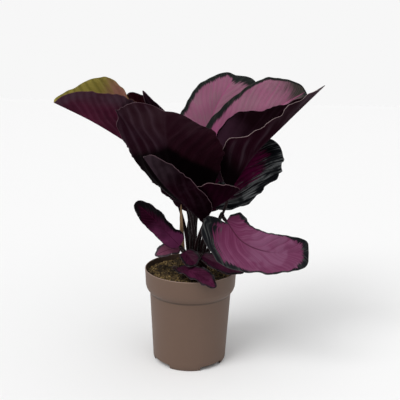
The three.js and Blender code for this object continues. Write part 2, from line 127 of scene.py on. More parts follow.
def tint(colour, other, value, low, high, most=1, least=0):
    """Turns a colour towards another one as value passes from low to high."""
    return mix(colour, other, step(value, low, high, least, most))


def cloud(place, scale, detail=3, roughness=0.55):
    """Noise from 0 to 1 at a place."""
    return add_node("TexNoise", place, None, scale, detail, roughness)


def new_finish(name, specular):
    """A material with one Principled shader, and the place on the piece that its colours are read from."""
    finish = bpy.data.materials.new(name)
    finish.use_nodes = True
    finish.node_tree.nodes["Principled BSDF"].inputs["Specular IOR Level"].default_value = specular
    return finish, add_node("TexCoord", tree=finish.node_tree, output=3)


def wire(finish, colour, roughness, height, distance, strength):
    """Links a finish's colour, roughness and relief to its shader."""
    tree = finish.node_tree
    bump = tree.nodes.new("ShaderNodeBump")
    bump.inputs["Strength"].default_value = strength
    bump.inputs["Distance"].default_value = distance
    tree.links.new(height, bump.inputs["Height"])
    for output, socket in ((bump.outputs[0], "Normal"), (colour, "Base Color"), (roughness, "Roughness")):
        tree.links.new(output, tree.nodes["Principled BSDF"].inputs[socket])
    return finish


def new_piece(name, points, faces, finishes, marks=None, numbers=None):
    """A smooth mesh object from points in millimetres, with its marks as point attributes."""
    mesh = bpy.data.meshes.new(name)
    mesh.from_pydata((np.asarray(points, float) * MM).tolist(), [], faces)
    for finish in finishes:
        mesh.materials.append(finish)
    for word, values in (marks or {}).items():
        layer = mesh.attributes.new(word, "FLOAT", "POINT")
        layer.data.foreach_set("value", np.asarray(values, np.float32))
    if numbers is not None:
        mesh.polygons.foreach_set("material_index", np.asarray(numbers, np.int32))
    mesh.polygons.foreach_set("use_smooth", [True] * len(mesh.polygons))
    mesh.update()
    piece = bpy.data.objects.new(name, mesh)
    scene.collection.objects.link(piece)
    return piece


def eased(profile, reach, steps=4):
    """The profile with every corner rounded, starting reach before it."""
    points = [Vector(p) for p in profile]
    out = [points[0]]
    for before, corner, after in zip(points, points[1:], points[2:]):
        cut = [min(reach, 0.45 * (end - corner).length) for end in (before, after)]
        start = corner + (before - corner).normalized() * cut[0]
        end = corner + (after - corner).normalized() * cut[1]
        for k in range(steps + 1):
            t = k / steps
            out.append(start * (1 - t) ** 2 + corner * 2 * t * (1 - t) + end * t * t)
    return [*out, points[-1]]


def turns(count):
    """Evenly spaced angles, once round."""
    return [2 * math.pi * k / count for k in range(count)]


def swung(radius, angle):
    """Where an arm of that radius points."""
    return radius * math.cos(angle), radius * math.sin(angle)


def turned(profile, segments):
    """Points and faces of a closed body turned about +Z from a profile that starts and ends on the axis."""
    points = [(0, 0, profile[0][1])]
    for radius, height in profile[1:-1]:
        points.extend((*swung(radius, angle), height) for angle in turns(segments))
    points.append((0, 0, profile[-1][1]))
    last = len(points) - 1
    faces = []
    for k in range(segments):
        after = (k + 1) % segments
        faces.append((0, 1 + after, 1 + k))
        for low in range(1, last - segments, segments):
            faces.append((low + k, low + after, low + segments + after, low + segments + k))
        faces.append((last - segments + k, last - segments + after, last))
    return points, faces


def tube_faces(rings, sides, first=0):
    """Faces of a closed tube made of rings of points, numbered on from first."""
    last = first + (rings - 1) * sides
    faces = [tuple(first + side for side in reversed(range(sides)))]
    for low in range(first, last, sides):
        for side in range(sides):
            a, b = low + side, low + (side + 1) % sides
            faces.append((a, b, b + sides, a + sides))
    return [*faces, tuple(last + side for side in range(sides))]


def pot_finish():
    """Matt taupe plastic with a fine mould grain and specks of soil dust, and darker towards the foot.

    A painted highlight runs along the lip, and painted shade lies in the crease under the collar and on the
    upper inner wall below the rim.
    """
    finish, place = new_finish("taupe_plastic", 0.35)
    height = add_node("SeparateXYZ", place, output=2)
    flat = add_node("VectorMath", place, (1, 1, 0), operation="MULTIPLY")
    radius = add_node("VectorMath", flat, operation="LENGTH", output=1)

    def between(value, band):
        return step(value, band[0] * MM, band[1] * MM)

    broad = cloud(place, 14)
    colour = tint(TAUPE, TAUPE_WORN, broad, 0.3, 0.7, 0.25)
    # Painted highlight along the lip.
    colour = mix(colour, LIP_PAINTED_HIGHLIGHT, between(height, LIP_HIGHLIGHT_BAND), 0.9)
    # Painted shade in the crease under the collar.
    colour = mix(colour, CREASE_SHADE, between(height, CREASE_BELOW), between(height, CREASE_ABOVE), 0.6)
    # Darker towards the foot.
    colour = mix(colour, DARKER_TAUPE, between(height, FOOT_DARK_BAND), 0.4)
    speckle = step(cloud(place, 420, 4), 0.66, 0.74)
    colour = mix(colour, DARKER_TAUPE, speckle, step(cloud(place, 30, 2), 0.5, 0.7), 0.45)
    # Painted shade on the upper inner wall.
    colour = mix(colour, INSIDE_PAINTED_SHADE, between(radius, INSIDE_RADII), between(height, INSIDE_HEIGHTS), 0.7)
    return wire(finish, colour, step(broad, 0.3, 0.7, 0.5, 0.6), cloud(place, 2600, 2), 0.00006, 0.5)


def inner_wall(inset):
    """Corners from the collar down to the body, along the pot's inner side or set further in."""
    return [
        (RIM_RADIUS - COLLAR_INSET - inset, COLLAR_HEIGHT),
        (RIM_RADIUS - SHOULDER_INSET - inset, COLLAR_SHOULDER + INNER_RISE),
        (BODY_TOP_RADIUS - inset, COLLAR_BOTTOM + INNER_RISE),
    ]


def notches_and_drains():
    """One cutter: a block across the foot ring for each notch, and a round peg for each drain hole."""
    points = []
    faces = []
    length, depth, height = NOTCH_SIZE
    for degrees in NOTCH_ANGLES:
        turn = Matrix.Rotation(math.radians(degrees), 3, "Z")
        faces.extend(tube_faces(2, 4, len(points)))
        for z in (-0.5, 0.5):
            for x, y in ((-0.5, -0.5), (0.5, -0.5), (0.5, 0.5), (-0.5, 0.5)):
                points.append(turn @ Vector((x * length, y * depth - BASE_RADIUS, z * height)))
    peg = [swung(DRAIN_RADIUS, angle) for angle in turns(DRAIN_SIDES)]
    for x, y in (swung(DRAIN_RING_RADIUS, angle) for angle in turns(DRAIN_COUNT)):
        faces.extend(tube_faces(2, DRAIN_SIDES, len(points)))
        for z in (FLOOR_HEIGHT - DRAIN_REACH, FLOOR_HEIGHT + DRAIN_REACH):
            points.extend((x + out, y + on, z) for out, on in peg)
    return points, faces


foot = BASE_RADIUS - FOOT_INSET
profile = [
    (0, FLOOR_HEIGHT), (foot - FOOT_WALL, FLOOR_HEIGHT), (foot - FOOT_WALL, 0), (foot, 0),
    (BASE_RADIUS, FOOT_TAPER_HEIGHT), (BODY_TOP_RADIUS, COLLAR_BOTTOM),
    (RIM_RADIUS - SHOULDER_INSET, COLLAR_SHOULDER), (RIM_RADIUS - COLLAR_INSET, COLLAR_HEIGHT),
    (RIM_RADIUS, POT_HEIGHT - LIP_EDGE), (RIM_RADIUS - LIP_EDGE, POT_HEIGHT),
    (RIM_RADIUS - WALL + LIP_EDGE, POT_HEIGHT), (RIM_RADIUS - WALL, POT_HEIGHT - LIP_EDGE),
    *inner_wall(WALL), (BASE_RADIUS - WALL, FLOOR_HEIGHT + WALL), (0, FLOOR_HEIGHT + WALL),
]
points, faces = turned(eased(profile, CORNER_ROUND), POT_SEGMENTS)
pot = new_piece("nursery_pot", points, faces, [pot_finish()])
cutter = new_piece("cutter", *notches_and_drains(), [])
boolean = pot.modifiers.new("cut", "BOOLEAN")
boolean.operation = "DIFFERENCE"
boolean.solver = "EXACT"
boolean.object = cutter
graph = bpy.context.evaluated_depsgraph_get()
notched = bpy.data.meshes.new_from_object(pot.evaluated_get(graph))
pot.modifiers.clear()
pot.data = notched
bpy.data.objects.remove(cutter)
edges = bmesh.new()
edges.from_mesh(pot.data)
for edge in edges.edges:
    edge.smooth = edge.calc_face_angle(0) < SHARP_EDGE
edges.to_mesh(pot.data)
edges.free()
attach(pot, "root")
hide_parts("pot")


# The root ball.
# It is damp peat and coir that fills the pot to a little under its rim, with a lumpy crumbling top. Nothing
# holds it but the pot, and the stalks come straight out of it.
SOIL_LEVEL = 118
SOIL_GAP = 0.5
SOIL_FLOOR_GAP = 0.3
SOIL_SIDE_TOP = SOIL_LEVEL - 2
SOIL_TOP_INSET = 1.6
SOIL_SWELL = 1.17
SOIL_LUMPS = 0.35
SOIL_RINGS = 56
SOIL_SEGMENTS = 128
PEAT = (0.0205, 0.0124, 0.007)
COIR = (0.15, 0.1, 0.048)
WET_PEAT = (0.0105, 0.006, 0.0035)


def soil_height(x, y):
    """How high the soil's top stands at a place, in millimetres."""
    swell = np.sin(0.21 * x + 1) * np.cos(0.17 * y) + 0.5 * np.sin(0.4 * x - 0.33 * y)
    lumps = np.sin(1.3 * x + 0.6 * y) * np.sin(1.1 * y - 0.5 * x)
    lumps = lumps + 0.6 * np.sin(2.7 * x) * np.sin(2.3 * y + 1)
    return SOIL_LEVEL + SOIL_SWELL * swell + SOIL_LUMPS * lumps


def mark(place, word):
    """One of the piece's own marks, for the finish that the place belongs to."""
    return add_node("Attribute", tree=place.id_data, attribute_name=word, output=2)


def soil_finish(name, pale, marked):
    """Granular brown soil, pale where it is dry. Loose pieces carry their own tone as a mark."""
    finish, place = new_finish(name, 0.2)
    crumb = cloud(place, 900, 5, 0.7)
    tone = mark(place, "tone") if marked else cloud(place, 260, 4, 0.65)
    speck = calc("MULTIPLY_ADD", crumb, 0.5, times(tone, 0.75))
    colour = tint(PEAT, pale, speck, 0.38, 0.95)
    colour = tint(colour, WET_PEAT, cloud(place, 55), 0.44, 0.62, 0.75)
    return wire(finish, colour, step(crumb, 0.2, 0.8, 0.75, 0.98), crumb, 0.0006, 0.8)


inset = WALL + SOIL_GAP
bottom = FLOOR_HEIGHT + WALL + SOIL_FLOOR_GAP
wall = [(0, bottom), (BASE_RADIUS - inset, bottom), *reversed(inner_wall(inset))]
wall.append((RIM_RADIUS - COLLAR_INSET - inset, SOIL_SIDE_TOP))
reach = RIM_RADIUS - SOIL_TOP_INSET - inset
top = [(reach * (1 - k / SOIL_RINGS), SOIL_LEVEL) for k in range(SOIL_RINGS + 1)]
points, faces = turned([*wall, *top], SOIL_SEGMENTS)
points = np.array(points)
crust = points[:, 2] == SOIL_LEVEL
points[crust, 2] = soil_height(points[crust, 0], points[crust, 1])
soil = new_piece("root_ball", points, faces, [soil_finish("damp_soil", COIR, False)])
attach(soil, "root")
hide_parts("soil")


# The loose crumbs and coir fibres.
# Torn lumps of peat, chips of bark and short curled coir fibres lie on the soil, half sunk in it, in tones
# from black-brown to straw.
CRUMB_COUNT = 2600
CRUMB_SIZES = (0.5, 2.3)
CRUMB_RADIUS = RIM_RADIUS - 3.4
FLATTEST_CRUMB = (0.6, 0.5, 0.35)
FULLEST_CRUMB = (1.2, 1, 0.8)
FIBRE_COUNT = 420
FIBRE_LENGTHS = (4, 15)
FIBRE_LIFTS = (0.2, 1.8)
FIBRE_BEND = 0.5
FIBRE_THICKNESS = 0.16
FIBRE_BEDDING = 0.4
FIBRE_RADIUS = RIM_RADIUS - 8
FIBRE_LIMIT = RIM_RADIUS - 4
FIBRE_STEPS = 6
STRAW = (0.32, 0.215, 0.085)
luck = np.random.default_rng(11)


def part_way(start, end, share):
    """What lies at a share of the way from start to end."""
    return start + (end - start) * share


def thrown(reach):
    """A random place on the soil."""
    return swung(reach * math.sqrt(luck.uniform()), luck.uniform(0, 2 * math.pi))


ball = bmesh.new()
bmesh.ops.create_icosphere(ball, subdivisions=1, radius=1)
corners = np.array([v.co[:] for v in ball.verts])
sides = np.array([[v.index for v in f.verts] for f in ball.faces])
ball.free()
points = []
faces = []
tones = []
for crumb in range(CRUMB_COUNT):
    x, y = thrown(CRUMB_RADIUS)
    size = part_way(*CRUMB_SIZES, luck.uniform() ** 2.4)
    dents = luck.uniform(0.65, 1.2, (len(corners), 1))
    shape = corners * dents * luck.uniform(FLATTEST_CRUMB, FULLEST_CRUMB)
    turn = np.linalg.qr(luck.normal(size=(3, 3)))[0]
    faces.extend((sides + len(points)).tolist())
    points.extend(size * shape @ turn + (x, y, soil_height(x, y) + size * luck.uniform(-0.1, 0.45)))
    tones.extend([luck.uniform() ** 1.3] * len(corners))
for fibre in range(FIBRE_COUNT):
    x, y = thrown(FIBRE_RADIUS)
    heading = luck.uniform(0, 2 * math.pi)
    bend = luck.uniform(-FIBRE_BEND, FIBRE_BEND)
    stride = luck.uniform(*FIBRE_LENGTHS) / FIBRE_STEPS
    lift = luck.uniform(*FIBRE_LIFTS)
    faces.extend(tube_faces(FIBRE_STEPS + 1, 3, len(points)))
    for share in np.linspace(0, 1, FIBRE_STEPS + 1):
        x, y = x + stride * math.cos(heading), y + stride * math.sin(heading)
        held = min(1, FIBRE_LIMIT / math.hypot(x, y))
        x, y = held * x, held * y
        heading += bend
        z = soil_height(x, y) + FIBRE_BEDDING + lift * math.sin(math.pi * share)
        for angle in turns(3):
            across, over = swung(FIBRE_THICKNESS * (1.2 - 0.8 * share), angle)
            points.append((x - across * math.sin(heading), y + across * math.cos(heading), z + over))
    tones.extend([luck.uniform(0.4, 1)] * 3 * (FIBRE_STEPS + 1))
finish = soil_finish("crumbled_coir", STRAW, True)
litter = new_piece("soil_crumbs", points, faces, [finish], {"tone": tones})
litter.data.polygons.foreach_set("use_smooth", [False] * len(litter.data.polygons))
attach(litter, "root")


# The big front leaf.
# It stands upright with its burgundy underside to the front, its left lobe wide and pleated and its right
# lobe curled back. Like every leaf it is one thin blade on a round maroon stalk, grown together at the rib.
BLADE_THICKNESS = 0.55
MARGIN_THICKNESS = 0.3
LEAST_WIDTH = 0.9
FLAT_BELOW = 8
STEEPEST_FOLD = 1.46
VEIN_BEND = 1.4
VEIN_CREST = 0.13
VEINS_BEFORE = 40
ROOT_SHARE = 0.035
RAGGED_EDGE = (0.01, 0.008)
CALM_BY_RIB = 9
CALM_BY_MARGIN = 6
CALM_IF_NARROW = 16
RIB_SAMPLES = 60
STALK_RADIUS = 2.1
STALK_SIDES = 14
STALK_STEPS = 56
STALK_RADII = (1.25, 1.25, 1.1, 0.9, 0.8, 1)
STALK_FOOT_RADIUS = 0.95 * STALK_RADIUS
STALK_FOOT_HEIGHTS = (-16, -5, 2)
STALK_NECK = (-6.3, 1.2)
STALK_SWELLING = (0.12, 9, 5)
STALK_END = (0.94, 0.62)
STALK_FREE_HEIGHT = 24
CURVE_STEPS = 40
MARKS = ("across", "rib", "margin", "vein", "border")
MAROON = (0.0085, 0.003, 0.0038)
MAROON_PALE = (0.026, 0.0115, 0.0125)
STALK_BASE = (0.032, 0.0149, 0.0118)
STALK_BASE_TOP = 150
PLAIN_LEAF = dict(
    belly=0.45, blunt=2.2, taper=0.3, taper_start=0.6, ruffle=1.2, waves=4, pleat=0.5, band=[5], frill=0.5,
    keel=1.2, cells=(124, 30), spread=[1], fold=[10], curl=[0], sweep=[0, 0.5, 0.6, 0.2], left={}, right={},
)


def smooth(share):
    """A share from 0 to 1, eased at both ends."""
    return share * share * (3 - 2 * share)


def unit(ways):
    """Directions of length 1."""
    return ways / np.linalg.norm(ways, axis=-1, keepdims=True)


def ramp(values, s):
    """Value at s, 0 to 1, of a list of values evenly spaced along the leaf, eased between them."""
    table = np.asarray(values, float)
    x = np.clip(s, 0, 1) * (len(table) - 1)
    before = np.minimum(x.astype(int), max(len(table) - 2, 0))
    after = np.minimum(before + 1, len(table) - 1)
    return part_way(table[before], table[after], smooth(x - before))


def crowded(count, pull):
    """Shares from 0 to 1, drawn closer together towards both ends."""
    even = np.linspace(0, 1, count + 1)
    return part_way(even, 0.5 - 0.5 * np.cos(math.pi * even), pull)


def extended(points):
    """The points of a curve with one more beyond each end, straight on."""
    knots = np.asarray(points, float)
    return np.vstack([2 * knots[0] - knots[1], knots, 2 * knots[-1] - knots[-2]])


def along_rib(rib, s):
    """Places and unit directions at s along a smooth curve through the rib's points."""
    knots = extended(rib)
    x = np.clip(s, 0, 1) * (len(rib) - 1)
    i = np.minimum(x.astype(int), len(rib) - 2)
    t = (x - i)[:, None]
    a, b, c, d = (knots[i + k] for k in range(4))
    slope, bend, twist = c - a, 2 * a - 5 * b + 4 * c - d, 3 * b - a - 3 * c + d
    place = 0.5 * (2 * b + slope * t + bend * t ** 2 + twist * t ** 3)
    return place, unit(slope + 2 * bend * t + 3 * twist * t ** 2)


def half_width(leaf, s):
    """Half width of a blade along its rib: a blunt oval, widest at the belly, narrowed towards the tip."""
    q = s ** (math.log(0.5) / math.log(leaf["belly"]))
    oval = np.maximum(1 - np.abs(2 * q - 1) ** leaf["blunt"], 0) ** (1 / leaf["blunt"])
    start = leaf["taper_start"]
    return leaf["width"] * oval * (1 - leaf["taper"] * np.clip((s - start) / (1 - start), 0, 1))


def blade_face(leaf, stations, cells, upper):
    """One face of a blade as rows of points from stalk to tip, each with the marks that its finish reads."""

    def along(ways, amount):
        return ways[:, None] * amount[..., None]

    place, forward = along_rib(leaf["rib"], stations)
    faces = np.asarray(leaf["face"], float)
    up = np.stack([ramp(faces[:, k], stations) for k in range(3)], 1)
    up = unit(up - forward * (up * forward).sum(1, keepdims=True))
    side = np.cross(forward, up)
    middle = along_rib(leaf["rib"], np.linspace(0, 1, RIB_SAMPLES))[0]
    length = np.linalg.norm(np.diff(middle, axis=0), axis=1).sum()
    share = crowded(cells, 0.7)
    s = stations[:, None]
    live = np.sin(math.pi * s) ** 0.5
    root = np.exp(-(s / ROOT_SHARE) ** 2)
    seed = leaf["seed"]
    halves = []
    for sign, name in ((1, "right"), (-1, "left")):
        half = leaf | leaf[name]
        ragged = RAGGED_EDGE[0] * np.sin(41 * s + seed) + RAGGED_EDGE[1] * np.sin(73 * s + 2 * seed + sign)
        width = half_width(leaf, s) * ramp(half["spread"], s) * (1 + ragged)
        width = np.maximum(width, LEAST_WIDTH - 0.6 * s)
        flat = np.minimum(1, width / FLAT_BELOW)
        fold = np.radians(ramp(half["fold"], s)) * flat
        curl = np.radians(np.maximum(ramp(half["curl"], s), 0.01))
        crease = 0.5 * BLADE_THICKNESS * np.tan(np.minimum(np.abs(fold), STEEPEST_FOLD)) / width
        crease = np.minimum(np.where(fold > 0, crease, 0) if upper else 0 * crease, 0.3)
        v = part_way(crease, 1, share)
        reach = v * width
        angle = fold + curl * v
        out = width * (np.sin(angle) - np.sin(fold)) / curl
        lift = width * (np.cos(fold) - np.cos(angle)) / curl
        ahead = ramp(half["sweep"], s) * width * flat * v ** VEIN_BEND
        waves = 2 * math.pi * leaf["waves"] * s + (0 if sign > 0 else 2)
        ruffle = leaf["ruffle"] * v ** 3 * np.sin(waves) * live
        frill = leaf["frill"] * v ** 6 * np.sin(2.7 * waves + seed + 2 * np.sin(0.7 * waves)) * live
        slant, spacing = half["veins"]
        slant = math.radians(slant)
        wander = 0.12 * np.sin(9 * s + seed) + 0.08 * np.sin(5 * v + 17 * s)
        vein = s * length * math.sin(slant) - reach * math.cos(slant) * (1 - 0.18 * v)
        vein = vein / spacing + wander + VEINS_BEFORE
        gap = np.abs(vein - np.round(vein))
        crest = np.exp(-(gap / VEIN_CREST) ** 2) - 0.35 + 0.45 * np.cos(2 * math.pi * vein)
        calm = np.clip(reach / CALM_BY_RIB, 0, 1) * np.clip((1 - v) * width / CALM_BY_MARGIN, 0.15, 1)
        calm = calm * np.clip(width / CALM_IF_NARROW, 0, 1) * live
        swell = 0.5 * np.sin(0.11 * reach + 7 * s + seed) * np.sin(11 * s + 0.07 * reach)
        relief = ruffle + frill + swell * calm - leaf["pleat"] * crest * calm
        thick = 0.5 * part_way(MARGIN_THICKNESS, BLADE_THICKNESS, 1 - v ** 4)
        if upper:
            offset = thick + 1.1 * root * np.exp(-(reach / 1.6) ** 2)
        else:
            keel = leaf["keel"] * (1 - 0.8 * s) + 0.6 * root
            offset = -thick - keel * np.exp(-(reach / (1 + 0.7 * keel)) ** 2)
        point = place[:, None] + along(side, sign * out) + along(up, lift) + along(forward, ahead)
        normal = along(up, np.cos(angle)) - sign * along(side, np.sin(angle))
        point = point + normal * (relief + offset)[..., None]
        rim = np.minimum((1 - v) * width, (1 - s) * length * 1.4)
        band = ramp(half["band"], s) + 0 * v
        halves.append(np.dstack([point, sign * reach, s * length + 0 * v, rim, vein, band]))
    right, left = halves
    right[:, 0, :3] = 0.5 * (left[:, 0, :3] + right[:, 0, :3])
    return np.concatenate([left[:, :0:-1], right], 1)


def grow_blade(name, node, leaf, upper, under):
    """A closed thin blade on the leaf's rib, standing in for its plain solid."""
    along, cells = leaf["cells"]
    rows = np.concatenate([blade_face(leaf, crowded(along, 0.5), cells, top) for top in (True, False)])
    count = (along + 1) * (2 * cells + 1)
    number = np.arange(count).reshape(along + 1, -1)
    quads = np.stack([number[:-1, :-1], number[:-1, 1:], number[1:, 1:], number[1:, :-1]], -1).reshape(-1, 4)
    faces = [quads, quads[:, [0, 3, 2, 1]] + count]
    for near, order in ((number[:, 0], 1), (number[:, -1], -1), (number[0], -1), (number[-1], 1)):
        far = near + count
        faces.append(np.stack([near[:-1], near[1:], far[1:], far[:-1]], 1)[:, ::order])
    faces = np.concatenate(faces).tolist()
    rows = rows.reshape(2 * count, -1)
    marks = dict(zip(MARKS, rows[:, 3:].T))
    numbers = np.arange(len(faces)) >= len(quads)
    blade = new_piece(name, rows[:, :3], faces, [upper, under], marks, numbers)
    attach(blade, "root")
    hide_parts(node)


def stalk_finish():
    """Smooth maroon stalk with fine lengthwise grooves, browner where it leaves the soil."""
    finish, place = new_finish("maroon_stalk", 0.1)
    height = add_node("SeparateXYZ", place, output=2)
    drawn = add_node("CombineXYZ", mark(place, "around"), times(mark(place, "length"), 0.02), height)
    streaks = cloud(drawn, 3, 4)
    colour = tint(MAROON, MAROON_PALE, streaks, 0.45, 0.75, 0.7)
    colour = tint(colour, STALK_BASE, height, STALK_BASE_TOP * MM, SOIL_LEVEL * MM, 0.6)
    colour = tint(colour, MAROON, cloud(place, 90), 0.55, 0.75, 0.3)
    return wire(finish, colour, step(streaks, 0.3, 0.7, 0.38, 0.55), streaks, 0.0002, 0.6)


STALK_FINISH = stalk_finish()
grown_stalks = []


def knotted(points, count):
    """Evenly spaced places on a centripetal curve through points."""
    knots = extended(points)
    run = []
    for p0, p1, p2, p3 in zip(knots, knots[1:], knots[2:], knots[3:]):
        d0, d1, d2 = (max(math.sqrt(np.linalg.norm(b - a)), 1e-4) for a, b in ((p0, p1), (p1, p2), (p2, p3)))
        t1 = ((p1 - p0) / d0 - (p2 - p0) / (d0 + d1) + (p2 - p1) / d1) * d1
        t2 = ((p2 - p1) / d1 - (p3 - p1) / (d1 + d2) + (p3 - p2) / d2) * d1
        t = np.linspace(0, 1, CURVE_STEPS, endpoint=False)[:, None]
        run.append(p1 + t1 * t + (3 * (p2 - p1) - 2 * t1 - t2) * t ** 2 + (2 * (p1 - p2) + t1 + t2) * t ** 3)
    run = np.vstack([*run, knots[-2:-1]])
    reach = np.concatenate([[0], np.cumsum(np.linalg.norm(np.diff(run, axis=0), axis=1))])
    goal = np.linspace(0, reach[-1], count)
    return np.stack([np.interp(goal, reach, run[:, k]) for k in range(3)], 1), goal


def grow_stalk(name, rib, foot, waypoints):
    """A round stalk from its foot in the soil to the blade's base, swollen just under the blade."""
    start, forward = (found[0] for found in along_rib(rib, np.zeros(1)))
    rise = [(*foot, SOIL_LEVEL + height) for height in STALK_FOOT_HEIGHTS]
    neck = [start + ahead * forward for ahead in STALK_NECK]
    path, reach = knotted([*rise, *waypoints, *neck], STALK_STEPS + 1)
    way = unit(np.gradient(path, axis=0))
    free = smooth(np.clip((path[:, 2] - SOIL_LEVEL - STALK_FOOT_HEIGHTS[-1]) / STALK_FREE_HEIGHT, 0, 1))
    radii = STALK_RADIUS * ramp(STALK_RADII, np.linspace(0, 1, STALK_STEPS + 1))
    radii = part_way(STALK_FOOT_RADIUS, radii, free)
    more, down, spread = STALK_SWELLING
    radii = radii * (1 + more * np.exp(-((reach - reach[-1] + down) / spread) ** 2))
    radii[-2:] *= STALK_END
    first = np.cross(way[0], (0, 1, 0))
    points = []
    for k in range(STALK_STEPS + 1):
        first = unit(first - way[k] * first.dot(way[k]))
        second = np.cross(way[k], first)
        for angle in turns(STALK_SIDES):
            radius = radii[k] * (1 + 0.035 * math.cos(3 * angle + 0.03 * reach[k]))
            points.append(path[k] + radius * (math.cos(angle) * first + math.sin(angle) * second))
    around = [abs(side - STALK_SIDES / 2) for side in range(STALK_SIDES)] * (STALK_STEPS + 1)
    marks = {"around": around, "length": np.repeat(reach, STALK_SIDES)}
    grown_stalks.append((path, way, radii))
    faces = tube_faces(STALK_STEPS + 1, STALK_SIDES)
    stalk = new_piece(name + "_petiole", points, faces, [STALK_FINISH], marks)
    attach(stalk, "root")
    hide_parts(name + "_stalk")


def grow_leaf(name, upper, under, foot, waypoints, **shape):
    """A leaf's blade, and the stalk that carries it from its foot in the soil past the waypoints."""
    leaf = PLAIN_LEAF | shape | {"seed": len(grown_stalks) + 1}
    grow_blade(name + "_blade", name + "_leaf", leaf, upper, under)
    grow_stalk(name, leaf["rib"], foot, waypoints)


def vein_noise(vein, across, seed, lines, detail):
    """Noise drawn out along the veins, with a number of lines between two of them."""
    return cloud(add_node("CombineXYZ", times(vein, lines), across, seed), 1, detail, 0.6)


def leaf_finish(name, specular, seed, stretch):
    """The start of a blade's finish: its marks, fine noise along the veins, and the way off from a vein."""
    finish, place = new_finish(name, specular)
    across, rib, margin, vein = (mark(place, word) for word in MARKS[:4])
    fine = vein_noise(vein, times(across, stretch), seed, 9, 4)
    return finish, place, vein, across, margin, rib, fine, calc("PINGPONG", vein, 0.5)


def leaf_skin(finish, place, colour, fine, roughness, grit=0.25):
    """The end of a blade's finish: the relief of its veins and cells, with roughness from that value up."""
    cells = cloud(place, 1500, 3, 0.6)
    relief = calc("MULTIPLY_ADD", fine, 0.8, times(cells, grit))
    return wire(finish, colour, step(cells, 0.3, 0.7, roughness, roughness + 0.14), relief, 0.0005, 0.5)


# Near-black painted shade for the undersides towards the stalk.
PAINTED_SHADE_BLACK = (0.0019, 0.0006, 0.0011)


def under_finish(name, seed, ground, deep, ridge, hem, ridge_share=0.5, hem_width=0.9, shade=(1, 0),
                 lean=(0, 0), plain=0, left=None, edge=None, tip=None, mottle=0, rib_share=0.2):
    """A leaf's underside: raised paler veins on burgundy with a thin pale hem, painted shade in the valleys
    between the veins, and painted black shade towards the stalk.

    shade and tip run along the rib: shade is the stretch of the painted black shade, and tip that of a paler
    painted highlight towards the tip. lean draws the shade in away from the rib on the left and right half.
    left is the left half's own ground, which plain frees of raised veins, and edge tints a band at the
    margin.
    """
    finish, place, _, across, margin, rib, fine, gap = leaf_finish(name, 0.006, seed, 0.05)
    far = calc("ABSOLUTE", across)
    broad = cloud(place, 22)
    if left:
        ground = tint(left, ground, across, -2, 2)
    if edge:
        ground = tint(ground, edge[0], margin, *edge[1:])
    # Painted highlight: the ground turns paler and greyer towards the tip, where the upper part catches the
    # light.
    if tip:
        ground = tint(ground, tip[0], calc("MULTIPLY_ADD", broad, 30, rib), *tip[1:])
    colour = tint(ground, deep, broad, 0.38, 0.66, 0.8)
    # Painted shade: darker in the pleats' valleys between the veins.
    colour = tint(colour, deep, gap, 0.18, 0.48, 0.35)
    colour = tint(colour, ridge, cloud(place, 170, 2), 0.45, 0.7, mottle)
    veined = step(across, -1, 1, 1 - plain, 1)
    away = times(step(far, 1.5, 12), step(margin, 0.5, 9), veined, ridge_share)
    colour = mix(colour, ridge, step(gap, 0.24, 0.02), away, step(fine, 0.25, 0.6, 0.45, 1))
    colour = tint(colour, ridge, fine, 0.52, 0.75, 0.2)
    colour = tint(colour, ridge, far, 2.2, 0.6, rib_share)
    drawn = calc("ADD", rib, times(far, step(across, -2, 2, *lean)))
    # Painted shade: the colour turns near-black towards the stalk, drawn in away from the rib.
    colour = tint(colour, PAINTED_SHADE_BLACK, calc("ADD", drawn, calc("MULTIPLY_ADD", broad, 12, -6)), *shade)
    colour = mix(colour, hem, step(margin, hem_width, 0.3 * hem_width, 0, 0.85), veined)
    return leaf_skin(finish, place, colour, fine, 0.42)


